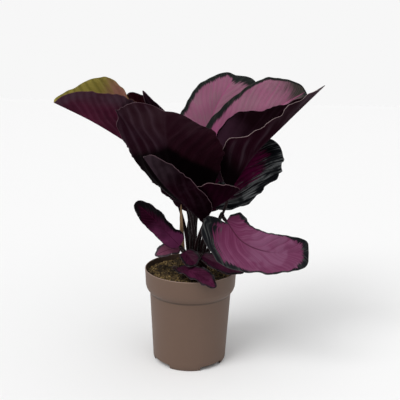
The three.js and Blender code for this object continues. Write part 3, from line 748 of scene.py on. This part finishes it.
def upper_finish(name, seed, pale, deep, dark, grey, rib_colour, feather=0.8, veins=0.35, rib_width=0.8,
                 warm=(20, 75), dusk=(400, 500), streaks=(0.6, 0.48), gloss=0.08, rib_end=(400, 500),
                 quilt_shade=0):
    """A leaf's upper side: a pink field with fine veins, feathering into a near-black green border.

    warm and dusk are the stretches along the rib over which the field turns from deep to pale and from pale
    to grey. streaks holds how strong the border's grey streaks are and the noise from which they start.
    Broad darker patches laid at random are painted shade, standing in for the shading of the quilted relief.
    """
    finish, place, vein, across, margin, rib, fine, gap = leaf_finish(name, gloss, seed, 0.035)
    coarse = vein_noise(vein, times(across, 0.03), seed + 5, 3, 2)
    onward = calc("ADD", rib, calc("MULTIPLY_ADD", cloud(place, 26), 60, -30))
    light = tuple(min(1, 1.35 * part) for part in pale)
    field = tint(deep, pale, onward, *warm)
    # Painted shade: broad darker patches at random, for the shading of the leaf's quilted relief.
    field = tint(field, deep, cloud(place, 48, 2), 0.42, 0.6, quilt_shade)
    field = tint(field, deep, coarse, 0.5, 0.72, veins)
    field = tint(field, light, fine, 0.45, 0.7, veins)
    field = tint(field, deep, gap, 0.09, 0, veins)
    dusky = step(calc("MULTIPLY_ADD", fine, 30, onward), *dusk)
    field = mix(field, grey, dusky)
    field = mix(field, dark, dusky, step(fine, 0.46, 0.6, 0, 0.75))
    middle = step(calc("ABSOLUTE", across), rib_width, 0.4 * rib_width, 0, 0.85)
    field = mix(field, rib_colour, middle, step(rib, *rib_end, 1, 0))
    streak = step(fine, 0.4, 0.62, 0.25 * streaks[0], streaks[0])
    patch = step(cloud(place, 60, 2), 0.38, 0.56, 0.15, 1)
    edge = mix(dark, grey, step(coarse, streaks[1], streaks[1] + 0.12), streak, patch)
    edge = tint(edge, grey, margin, 1.2, 0.2, 0.35)
    teeth = calc("ADD", step(fine, 0.34, 0.66, 0, 1.3), step(coarse, 0.32, 0.68, 0, 0.7))
    limit = times(mark(place, "border"), calc("MULTIPLY_ADD", teeth, 0.6 * feather, 1 - 0.6 * feather))
    inside = calc("DIVIDE", calc("SUBTRACT", margin, limit), calc("ADD", limit, 1))
    return leaf_skin(finish, place, tint(edge, field, inside, -0.15, 0.25), fine, 0.4)


BURGUNDY = (0.017, 0.0066, 0.0118)
PLUM = (0.0098, 0.0015, 0.004)
CRIMSON = (0.0135, 0.0026, 0.0055)
# A paler painted highlight for the front leaf's underside towards its tip.
TIP_HIGHLIGHT_BURGUNDY = (0.02, 0.0086, 0.0122)
MAUVE_RIDGE = (0.04, 0.022, 0.031)
PALE_HEM = (0.11, 0.068, 0.079)
NEAR_BLACK = (0.0037, 0.005, 0.0056)
GREY_GREEN = (0.025, 0.03, 0.027)
DEEP_MAGENTA = (0.043, 0.0025, 0.0174)
MAGENTA = (0.068, 0.0074, 0.031)
DARK_UPPER = upper_finish("dark_upper_side", 3, MAGENTA, DEEP_MAGENTA, NEAR_BLACK, GREY_GREEN, MAUVE_RIDGE)
# The front underside turns to painted black shade towards the stalk, for the recess behind the flap, and to a
# paler painted highlight towards the tip.
front_under = under_finish(
    "front_underside", 1, BURGUNDY, PLUM, MAUVE_RIDGE, PALE_HEM, 0.42, 1, shade=(85, 73),
    lean=(1.05, 0.6), plain=0.9, left=CRIMSON, tip=(TIP_HIGHLIGHT_BURGUNDY, 78, 125), rib_share=0.08,
)
grow_leaf("front", DARK_UPPER, front_under, (7, 6), [(4, 2, 165)],
    rib=[[-6, -10, 212], [-24, -32, 257], [-32, -42, 297], [-34, -30, 330]],
    face=[[0.1, 1, 0.2], [0.1, 1, 0], [0.05, 1, -0.15]],
    width=64, belly=0.5, blunt=2.3, taper=0.1, ruffle=1, veins=(30, 12), pleat=0.8, band=[9],
    right=dict(spread=[0.7, 0.78, 0.95, 1.12, 1.13, 1.14, 1.05], fold=[20, 15, 5], curl=[20, 30, 20],
        sweep=[0.2, 0.42, 0.6, 0.65], veins=(22, 14)),
    left=dict(spread=[1, 1.08, 0.94, 0.8], fold=[8, 5, 5], curl=[15, 18, 15], sweep=[-0.1, 0, 0.1, 0],
        veins=(40, 13)),
)


# The low front flap.
# A folded leaf leans out of the middle of the front with its keel down, so that only the grey-purple
# underside of its near half and the pale edge of its far half are seen.
# The flap's underside darkens to painted black shade towards the stalk and turns to a paler painted highlight
# towards the tip.
flap_under = under_finish(
    "flap_underside", 2, (0.0085, 0.0008, 0.0036), (0.003, 0.0003, 0.0013), (0.03, 0.0165, 0.0235),
    PALE_HEM, 0.22, 0.8, shade=(50, -30), tip=((0.04, 0.025, 0.033), 82, 112), mottle=0.14,
)
grow_leaf("front_flap", DARK_UPPER, flap_under, (4, 0), [(6, -10, 155), (11, -26, 180)],
    rib=[[12, -34, 198], [-9, -56, 222], [-34, -72, 250], [-56, -80, 282]], face=[[0.5, 0.1, 0.9]],
    width=29, belly=0.42, blunt=2.4, taper=0.2, ruffle=1.5, veins=(16, 9), band=[7],
    sweep=[0, 0.2, 0.3, 0.2], right=dict(spread=[0.6, 0.7, 0.7], fold=[45, 40, 40]),
    left=dict(fold=[60, 60, 55]),
)


# The wavy leaf at the left.
# It stands behind the flap with its dark underside forward, and shows little more than its ruffled lower
# edge.
dark_under = under_finish(
    "dark_underside", 4, (0.0124, 0.003, 0.0065), (0.0062, 0.0014, 0.0034), (0.031, 0.015, 0.022),
    (0.11, 0.068, 0.08),
)
grow_leaf("left_wavy", DARK_UPPER, dark_under, (1, 6), [(0, 5, 160)],
    rib=[[0, 2, 199], [-26, 0, 232], [-57, 4, 268], [-90, 8, 305]], face=[[0.25, 1, 0.3]],
    width=23, belly=0.5, ruffle=1.6, waves=7, veins=(40, 8),
    right=dict(curl=[20]), left=dict(spread=[0.35], curl=[10]),
)


# The small dark front leaf.
# A young folded leaf to the right of the flap, saturated dark magenta underneath, with a pale upper margin.
# The small leaf's underside turns to painted black shade towards the stalk.
small_under = under_finish("small_underside", 5, (0.0105, 0.0004, 0.0046), (0.0046, 0.0002, 0.002),
                           (0.022, 0.0018, 0.0105), (0.205, 0.13, 0.14), 0.12, 0.7, shade=(22, 0))
grow_leaf("front_small", DARK_UPPER, small_under, (10, 0), [(13, -8, 155), (19, -24, 188)],
    rib=[[20, -36, 210], [31, -46, 219], [44, -48, 228], [57, -42, 239]], face=[[-0.3, 0.1, 0.9]],
    width=24, blunt=2.6, cells=(84, 20), ruffle=0.8, waves=3, veins=(45, 7), pleat=0.4, band=[4],
    fold=[60, 60, 50], right=dict(spread=[2, 1.45, 0.95, 0.7], sweep=[0.1, 0.2, 0.3, 0.1]),
    left=dict(sweep=[0, 0.3, 0.4, 0.1]),
)


# The green-tipped leaf at the left.
# It is folded along its rib like a boat, with a crimson underside to the front. Its far half stands up behind
# and shows a yellow-green upper side that turns pink towards the stalk.
GREEN = (0.33, 0.275, 0.062)
GREEN_DARK = (0.205, 0.18, 0.034)
ROSE = (0.29, 0.13, 0.096)
ROSE_STRETCH = (112, 86)
crimson_under = under_finish(
    "crimson_underside", 6, (0.08, 0.012, 0.032), (0.036, 0.006, 0.015), (0.092, 0.036, 0.058),
    (0.124, 0.062, 0.05), 0.25, 0.8, edge=((0.058, 0.03, 0.043), 30, 8),
)


def green_finish():
    """Yellow-green upper side with darker stripes along its veins, rose towards the stalk."""
    finish, place, _, _, margin, rib, fine, gap = leaf_finish("green_upper_side", 0.15, 8, 0.03)
    colour = tint(GREEN_DARK, GREEN, gap, 0.05, 0.3, 1, 0.35)
    colour = tint(colour, GREEN_DARK, fine, 0.45, 0.75, 0.5)
    colour = tint(colour, ROSE, calc("MULTIPLY_ADD", fine, 24, calc("ADD", rib, -12)), *ROSE_STRETCH)
    colour = tint(colour, GREEN_DARK, margin, 1.4, 0.3, 0.7)
    return leaf_skin(finish, place, colour, fine, 0.4, 1)


grow_leaf("left_green", green_finish(), crimson_under, (-2, 12), [(-8, 16, 170), (-30, 28, 235)],
    rib=[[-48, 32, 257], [-91, 40, 285], [-131, 22, 312], [-169, -18, 337]], face=[[0.5, -0.1, 0.85]],
    width=62, belly=0.4, blunt=2.4, taper=0.35, ruffle=0.5, waves=3, veins=(26, 8.5), band=[3],
    sweep=[0.1, 0.25, 0.3, 0.1], left=dict(spread=[1, 1, 1, 1.3], fold=[65, 62, 55, 65], curl=[0, 10, 10, 0]),
    right=dict(spread=[0.7, 0.65, 0.66, 0.76, 0.93, 1.02, 1, 0.78, 0.6], fold=[85, 80, 75, 50],
        curl=[0, 5, 5, 0]),
)


# The pointed leaf and the rounded leaf behind the front one.
# Two dark leaves stand back to back with the rest and show only their tips above it.
reddish_under = under_finish("reddish_underside", 7, (0.018, 0.0018, 0.004), (0.008, 0.0012, 0.0025),
                             (0.04, 0.013, 0.016), (0.031, 0.027, 0.027), 0.3, 1.6)
BEHIND = dict(face=[[0.2, 1, 0.1]], cells=(84, 20), ruffle=0.8, veins=(35, 8), band=[6], fold=[20],
    left=dict(fold=[20, 20, 10]))
grow_leaf("pointed", DARK_UPPER, dark_under, (4, 12), [(2, 10, 160)], **BEHIND | dict(
    rib=[[-2, 6, 207], [-17, 2, 260], [-41, -2, 312], [-63, -4, 353]],
    width=24, belly=0.42, blunt=2, taper=0.75, taper_start=0.35,
))
grow_leaf("rounded", DARK_UPPER, reddish_under, (1, 18), [(-3, 28, 180)], **BEHIND | dict(
    rib=[[-22, 50, 243], [-48, 56, 283], [-68, 58, 320], [-87, 54, 347]], width=20,
))


# The tall back leaf and the pink leaf to its right.
# Both face the front with their upper sides: dusty pink with fine fanning veins, and a feathered grey-green
# border that is widest at the tall leaf's tip.
DUSTY_PINK = (0.276, 0.128, 0.18)
PINK = (0.37, 0.076, 0.2)
BORDER = (0.0124, 0.0149, 0.0143)
BORDER_GREY = (0.05, 0.055, 0.048)
BORDER_BROWN = (0.06, 0.051, 0.044)
pink_upper = upper_finish("pink_upper_side", 9, DUSTY_PINK, PINK, BORDER, BORDER_GREY, PINK, 0.7, 0.55,
                          quilt_shade=0.3)
dusky_upper = upper_finish("dusky_ended_upper_side", 9, DUSTY_PINK, PINK, BORDER, BORDER_BROWN, PINK,
                           0.45, 0.55, warm=(30, 95), dusk=(146, 178), quilt_shade=0.25)
TALL = dict(width=45, taper=0, waves=5, veins=(30, 6), pleat=0.35)
grow_leaf("back", pink_upper, dark_under, (7, 18), [(6, 26, 180)], **TALL,
    rib=[[16, 46, 234], [18, 57, 279], [29, 67, 327], [55, 69, 373]], face=[[-0.1, -1, 0.2]], blunt=2.9,
    right=dict(spread=[0.5, 0.8, 0.95, 1.1], fold=[0], sweep=[0.2, 0.35, 0.3, 0.5], band=[5, 5, 9, 13]),
    left=dict(spread=[1, 1.02, 0.86, 0.62], fold=[20, 20, 10], sweep=[0.2, 0.35, 0.2, 0], band=[5, 5, 5, 7]),
)
grow_leaf("right_pink", dusky_upper, dark_under, (13, 18), [(19, 26, 180)], **TALL,
    rib=[[29, 34, 240], [54, 42, 283], [97, 45, 323], [146, 38, 354]], face=[[-0.3, -1, 0.2]], blunt=2.4,
    band=[7], sweep=[0.2, 0.4, 0.4, 0.1], right=dict(spread=[0.5, 0.5, 0.5, 0.6], fold=[30, 40, 40]),
    left=dict(spread=[1.05, 1, 1, 0.8], curl=[10], band=[9, 7, 3, 3]),
)


# The long folded leaf at the right.
# It reaches up to the right as a trough: the near half shows its dark purple underside with mauve veins and a
# pale wavy edge, painted shade towards the stalk and a paler painted highlight towards the tip. The far half
# shows its upper side deep in shade, painted near-black as painted shade, with dark crimson towards the
# stalk.
# Painted black shade towards the stalk, and a paler painted highlight towards the tip.
trough_under = under_finish(
    "trough_underside", 10, (0.0165, 0.0036, 0.0085), (0.008, 0.0006, 0.0026), (0.05, 0.032, 0.042),
    (0.3, 0.22, 0.22), 0.42, 0.75, shade=(50, 20), tip=((0.041, 0.024, 0.031), 95, 150),
)
# The far half's upper side is painted shade throughout: near-black, with dark crimson towards the stalk.
trough_far_side_painted_shade = upper_finish(
    "trough_far_side_in_painted_shade", 11, (0.0035, 0.0002, 0.0012), (0.034, 0.013, 0.024), (0.002, 0.0006, 0.0012),
    (0.008, 0.004, 0.0062), (0.008, 0.002, 0.004), 0.7, 0.08, warm=(35, 92), gloss=0.01,
)
grow_leaf("right_folded", trough_far_side_painted_shade, trough_under, (19, 6), [(29, 3, 170), (44, -6, 212)],
    rib=[[49, -6, 231], [77, -8, 276], [119, 2, 319], [166, 20, 363]], face=[[-0.69, 0, 0.72]],
    width=56, belly=0.34, taper=0.75, taper_start=0.45, ruffle=1.8, waves=6, veins=(15, 14), pleat=0.7,
    band=[1.5],
    right=dict(spread=[0.6, 0.7, 0.74, 0.43, 0.41, 0.5, 0.7, 0.85, 0.9], fold=[80, 70, 50, 25],
        sweep=[0.3, 0.3, 0, 0], band=[0.5]),
    left=dict(spread=[0.7, 1, 1, 1], fold=[80, 72, 38, 10], sweep=[0, 0.1, 0.15, 0.1]),
)


# The dark-edged leaf low at the right.
# It faces the front with a saturated magenta middle and a very broad blue-black border with grey streaks.
broad_upper = upper_finish(
    "broad_border_upper_side", 12, (0.093, 0.0037, 0.038), (0.031, 0.0012, 0.0124),
    (0.002, 0.0022, 0.0032), (0.105, 0.11, 0.112), DEEP_MAGENTA, 0.8, 0.5, warm=(10, 90),
    streaks=(1, 0.45), gloss=0.02,
)
grow_leaf("right_dark", broad_upper, dark_under, (16, 12), [(20, 12, 165)],
    rib=[[26, 14, 205], [48, 18, 228], [71, 22, 261], [97, 22, 295]],
    face=[[-0.4, -0.9, 0.3], [-0.5, -0.8, 0.3]],
    width=50, belly=0.42, blunt=2.3, ruffle=2, waves=7, veins=(35, 7), pleat=0.7, band=[20],
    right=dict(spread=[0.5, 0.8, 1.1, 1.45], sweep=[0.1, 0.35, 0.4, 0.3], band=[24, 24, 28, 26]),
    left=dict(spread=[0.35], fold=[40, 40, 30], sweep=[0.1, 0.4, 0.4, 0.1], band=[8]),
)


# The large leaf hanging at the lower right.
# It droops over the rim with its mauve-pink upper side to the front, a brown-magenta midrib, soft veins drawn
# towards the tip, and a dark grey-green border that is feathered at the tip.
mauve_upper = upper_finish(
    "mauve_upper_side", 13, (0.16, 0.056, 0.11), (0.108, 0.018, 0.056), (0.0058, 0.0062, 0.008),
    (0.08, 0.083, 0.08), (0.05, 0.0087, 0.024), 0.9, 0.45, 1.1, streaks=(0.8, 0.48), gloss=0.05,
    rib_end=(60, 95), quilt_shade=0.65,
)
grow_leaf("hanging", mauve_upper, dark_under, (16, 0), [(26, -8, 165), (38, -18, 203)],
    rib=[[43, -30, 196], [63, -50, 175], [96, -58, 165], [144, -52, 164]],
    face=[[0.1, -0.8, 0.5], [0.1, -0.9, 0.4]],
    width=31, belly=0.36, blunt=5, taper=0, ruffle=2, veins=(26, 8),
    right=dict(spread=[0, 0.9, 1.3, 1.35, 1.15, 0.95, 0.83, 0.8, 0.8], curl=[10, 10, 0],
        sweep=[-1.9, -0.9, -0.45, -0.3, -0.1, 0, 0.1, 0, -0.1], band=[7, 13, 6, 2, 1.6, 11]),
    left=dict(spread=[0.4, 0.72, 0.76, 0.75, 0.75, 0.75, 0.75, 0.7, 0.66], fold=[0, 10, 10],
        sweep=[-0.5, -0.7, -0.45, -0.25, -0.1, 0, 0, 0, 0], band=[4, 4, 1.4, 1.2, 1.6, 10]),
)


# The five young leaves near the soil.
# Small leaves come up round the crown: one reaches out at the lower left, and the others lie just over the
# soil and the rim, magenta above with a dark or dusty edge.
young_upper = upper_finish(
    "young_upper_side", 15, (0.092, 0.014, 0.048), (0.019, 0.0015, 0.0085), (0.005, 0.004, 0.005),
    (0.07, 0.055, 0.062), DEEP_MAGENTA, 0.9, 0.6, 0.5, (5, 50), quilt_shade=0.7,
)
reaching_upper = upper_finish(
    "reaching_upper_side", 14, (0.0115, 0.0003, 0.0045), (0.13, 0.025, 0.08), (0.003, 0.0022, 0.003),
    (0.045, 0.036, 0.042), DEEP_MAGENTA, 0.9, 0.16, 0.5, (8, 52), streaks=(0.5, 0.56), gloss=0.02,
)
dusty_upper = upper_finish(
    "dusty_upper_side", 16, (0.25, 0.088, 0.14), (0.13, 0.036, 0.07), (0.043, 0.034, 0.04),
    (0.099, 0.081, 0.09), DEEP_MAGENTA, 0.6, 0.4, 0.5, quilt_shade=0.5,
)
YOUNG = dict(
    face=[[-0.2, -0.7, 0.7]], width=12, belly=0.42, cells=(60, 16), ruffle=0.5, waves=3, veins=(40, 4),
    pleat=0.3, band=[2.4], keel=0.8, frill=0.3,
)
grow_leaf("lower_left", reaching_upper, dark_under, (-2, 0), [(-6, 0, 138)], **YOUNG | dict(
    rib=[[-15, -4, 155], [-31, -14, 175], [-49, -20, 196], [-71, -18, 215]], face=[[-0.2, -0.9, 0.4]],
    width=15, belly=0.36, blunt=2.6, taper=0.2, ruffle=1.6, waves=5, band=[1, 5, 7, 9],
    sweep=[0.4, 0.5, 0.6, 0.2], right=dict(spread=[1.2, 0.85, 1, 1], fold=[10, 25, 25, 10]),
    left=dict(spread=[0.9, 0.9, 1, 1], band=[0.5, 0.5, 1, 7]),
))
grow_leaf("soil_left", dusty_upper, dark_under, (-5, 6), [(-8, 7, 136)], **YOUNG | dict(
    rib=[[-15, 8, 146], [-25, 4, 148], [-35, 0, 146], [-47, -4, 141]], width=10,
))
grow_leaf("soil_centre", young_upper, dark_under, (1, -6), [(-6, -10, 140)], **YOUNG | dict(
    rib=[[-9, -20, 152], [-4, -26, 149], [1, -32, 145], [8, -36, 141]], face=[[0.1, -0.7, 0.7]],
))
grow_leaf("soil_front", young_upper, dark_under, (-14, -10), [(-20, -15, 126)], **YOUNG | dict(
    rib=[[-17, -27, 132], [-3, -41, 134], [15, -55, 131], [31, -67, 122]], face=[[0, -0.35, 0.94]],
    width=14, belly=0.5, ruffle=1.4, waves=4, right=dict(spread=[1, 1, 1.1]), left=dict(spread=[1, 0.9, 0.8]),
))
grow_leaf("soil_right", young_upper, dark_under, (10, -8), [(10, -13, 138)], **YOUNG | dict(
    rib=[[14, -20, 147], [29, -30, 142], [47, -34, 136], [68, -30, 130]], face=[[0.2, -0.7, 0.7]],
    right=dict(fold=[20, 20, 30]), left=dict(fold=[20, 20, 10]),
))


# The two leaves at the rear.
# They fill the back of the rosette, low behind the tall leaf, with their upper sides turned up and back.
REAR = dict(face=[[0, -0.8, 0.6], [0, -0.9, 0.4]], width=26, blunt=2.3, taper=0.2, cells=(84, 20), waves=5,
    veins=(38, 7), band=[5, 5, 6], fold=[20], curl=[10], sweep=[0.2, 0.4, 0.4, 0.1])
grow_leaf("rear_left", broad_upper, dark_under, (4, 24), [(-5, 32, 160)], **REAR | dict(
    rib=[[-4, 42, 196], [-12, 62, 224], [-22, 76, 254], [-30, 84, 284]],
))
grow_leaf("rear_right", broad_upper, dark_under, (10, 24), [(12, 32, 155)], **REAR | dict(
    rib=[[24, 44, 190], [36, 62, 214], [50, 76, 240], [66, 82, 264]],
))


# The down on the stalks.
# The stalks carry a fine silvery down. Each hair grows out of the skin and leans towards the blade, and the
# down is thickest and longest just under the leaves.
HAIRS_PER_STALK = 240
HAIR_LENGTHS = (0.6, 3.2)
HAIR_RADIUS = 0.09
HAIR_SPAN = (0.3, 0.98)
HAIR_LEAN = 0.5
HAIR_CROWDING = 0.6
HAIR_ROOT = 0.9
HAIR_SILVER = (0.17, 0.14, 0.145)
HAIR_DULL = (0.05, 0.03, 0.033)
down = np.random.default_rng(23)


def down_finish():
    """Silvery hair, duller in patches."""
    finish, place = new_finish("silvery_down", 0.2)
    patch = cloud(place, 160)
    colour = tint(HAIR_SILVER, HAIR_DULL, patch, 0.4, 0.65)
    return wire(finish, colour, step(patch, 0.3, 0.7, 0.5, 0.7), patch, 0.0001, 0.3)


def one_hair(path, way, radii):
    """The three corners round a hair's root, and its tip."""
    share = part_way(*HAIR_SPAN, down.uniform() ** HAIR_CROWDING)
    k = int(share * (len(path) - 1))
    aside = unit(np.cross(way[k], down.normal(size=3)))
    out = unit(aside + HAIR_LEAN * way[k])
    root = part_way(path[k], path[k + 1], down.uniform()) + HAIR_ROOT * radii[k] * aside
    first = unit(np.cross(out, way[k]))
    second = np.cross(out, first)
    length = part_way(*HAIR_LENGTHS, share * down.uniform())
    ring = [root + HAIR_RADIUS * (math.cos(turn) * first + math.sin(turn) * second) for turn in turns(3)]
    return [*ring, root + length * out]


points = [corner for stalk in grown_stalks for _ in range(HAIRS_PER_STALK) for corner in one_hair(*stalk)]
faces = []
for base in range(0, len(points), 4):
    faces.append((base + 2, base + 1, base))
    faces.extend((base + side, base + (side + 1) % 3, base + 3) for side in range(3))
hairs = new_piece("stalk_down", points, faces, [down_finish()])
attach(hairs, "root")


# The dry sheath.
# The withered sheath of an old leaf stands at the left of the stalks: a tan strip as thin as paper, ribbed
# along its length and darker at its edges.
SHEATH_TAN = (0.267, 0.167, 0.087)
SHEATH_BROWN = (0.124, 0.059, 0.028)


def sheath_finish():
    """Dry papery tan with brown fibres drawn out along the strip."""
    finish, place = new_finish("dry_sheath", 0.3)
    across, rib = times(mark(place, "across"), 2.5), times(mark(place, "rib"), 0.05)
    fibre = cloud(add_node("CombineXYZ", across, rib, 0), 1, 5, 0.65)
    colour = tint(SHEATH_TAN, SHEATH_BROWN, fibre, 0.42, 0.68)
    colour = tint(colour, SHEATH_BROWN, cloud(place, 90), 0.5, 0.7, 0.5)
    colour = tint(colour, SHEATH_BROWN, mark(place, "margin"), 0.6, 0.1, 0.6)
    return wire(finish, colour, step(fibre, 0.3, 0.7, 0.6, 0.8), fibre, 0.0004, 0.7)


paper = sheath_finish()
strip = PLAIN_LEAF | dict(
    rib=[[-8, 18, 102], [-9, 18, 130], [-13, 11, 168], [-14, 2, 209]], face=[[0.3, 1, 0]],
    width=3.2, belly=0.6, blunt=2.6, taper=0.5, cells=(60, 16), ruffle=0.6, waves=3, veins=(30, 5), pleat=0,
    band=[0], keel=0.1, frill=0.4, spread=[0.6, 0.6, 1, 1], fold=[20], sweep=[0], seed=len(grown_stalks) + 1,
)
grow_blade("dry_sheath_blade", "dry_sheath", strip, paper, paper)


# The studio.
# A plain pale floor under a pale world, soft light from the upper left, and a camera that stands where the
# photograph was taken from.
FLOOR_REACH = 6
FLOOR_WHITE = (0.86, 0.86, 0.86)
FLOOR_GRAIN = (0.8, 0.8, 0.8)
WORLD_LIGHT = 0.24
WORLD_SEEN = 0.93
CAMERA_PLACE = (0, -0.7573, 0.3828)
CAMERA_PITCH = math.radians(12.45)
FOCAL_PIXELS = 603
CAMERA_YAW = math.atan(8.2 / FOCAL_PIXELS)
CAMERA_ROLL = math.radians(1.2)
FRAME_PIXELS = 400
SENSOR_MM = 36


def floor_finish():
    """Pale matt studio floor with a barely visible grain."""
    finish, place = new_finish("studio_floor", 0.2)
    grain = cloud(place, 300)
    colour = tint(FLOOR_WHITE, FLOOR_GRAIN, grain, 0.3, 0.7, 0.03)
    return wire(finish, colour, step(grain, 0.3, 0.7, 0.8, 0.9), grain, 0.0001, 0.2)


def soft_light(name, heading, spread, strength):
    """A wide soft light that shines evenly from far away along a heading."""
    lamp = bpy.data.lights.new(name, "SUN")
    lamp.angle = math.radians(spread)
    lamp.energy = strength
    light = bpy.data.objects.new(name, lamp)
    light.rotation_euler = Vector(heading).to_track_quat("-Z", "Y").to_euler()
    scene.collection.objects.link(light)


reach = FLOOR_REACH / MM
corners = [(-reach, -reach, 0), (reach, -reach, 0), (reach, reach, 0), (-reach, reach, 0)]
floor = new_piece("studio_floor", corners, [(0, 1, 2, 3)], [floor_finish()])
world = bpy.data.worlds.new("studio")
world.use_nodes = True
background = world.node_tree.nodes["Background"]
seen = add_node("LightPath", tree=world.node_tree)
shade = add_node("MapRange", seen, 0, 1, WORLD_LIGHT, WORLD_SEEN)
world.node_tree.links.new(shade, background.inputs["Strength"])
background.inputs["Color"].default_value = (1, 1, 1, 1)
scene.world = world
soft_light("key", (0.75, 0.7, -1), 35, 1.8)
soft_light("top", (-0.1, 0.25, -1), 90, 1.5)
soft_light("fill", (-0.8, 0.6, -0.25), 70, 0.35)

level = math.cos(CAMERA_PITCH)
forward = Vector((math.sin(CAMERA_YAW) * level, math.cos(CAMERA_YAW) * level, -math.sin(CAMERA_PITCH)))
flat = forward.cross(Vector((0, 0, 1))).normalized()
right = math.cos(CAMERA_ROLL) * flat + math.sin(CAMERA_ROLL) * flat.cross(forward)
up = right.cross(forward)
lens = bpy.data.cameras.new("camera")
lens.sensor_width = SENSOR_MM
lens.lens = FOCAL_PIXELS / FRAME_PIXELS * SENSOR_MM
camera = bpy.data.objects.new("camera", lens)
camera.matrix_world = Matrix((right, up, -forward)).transposed().to_4x4()
camera.location = CAMERA_PLACE
scene.collection.objects.link(camera)
scene.camera = camera
scene.view_settings.view_transform = "Standard"
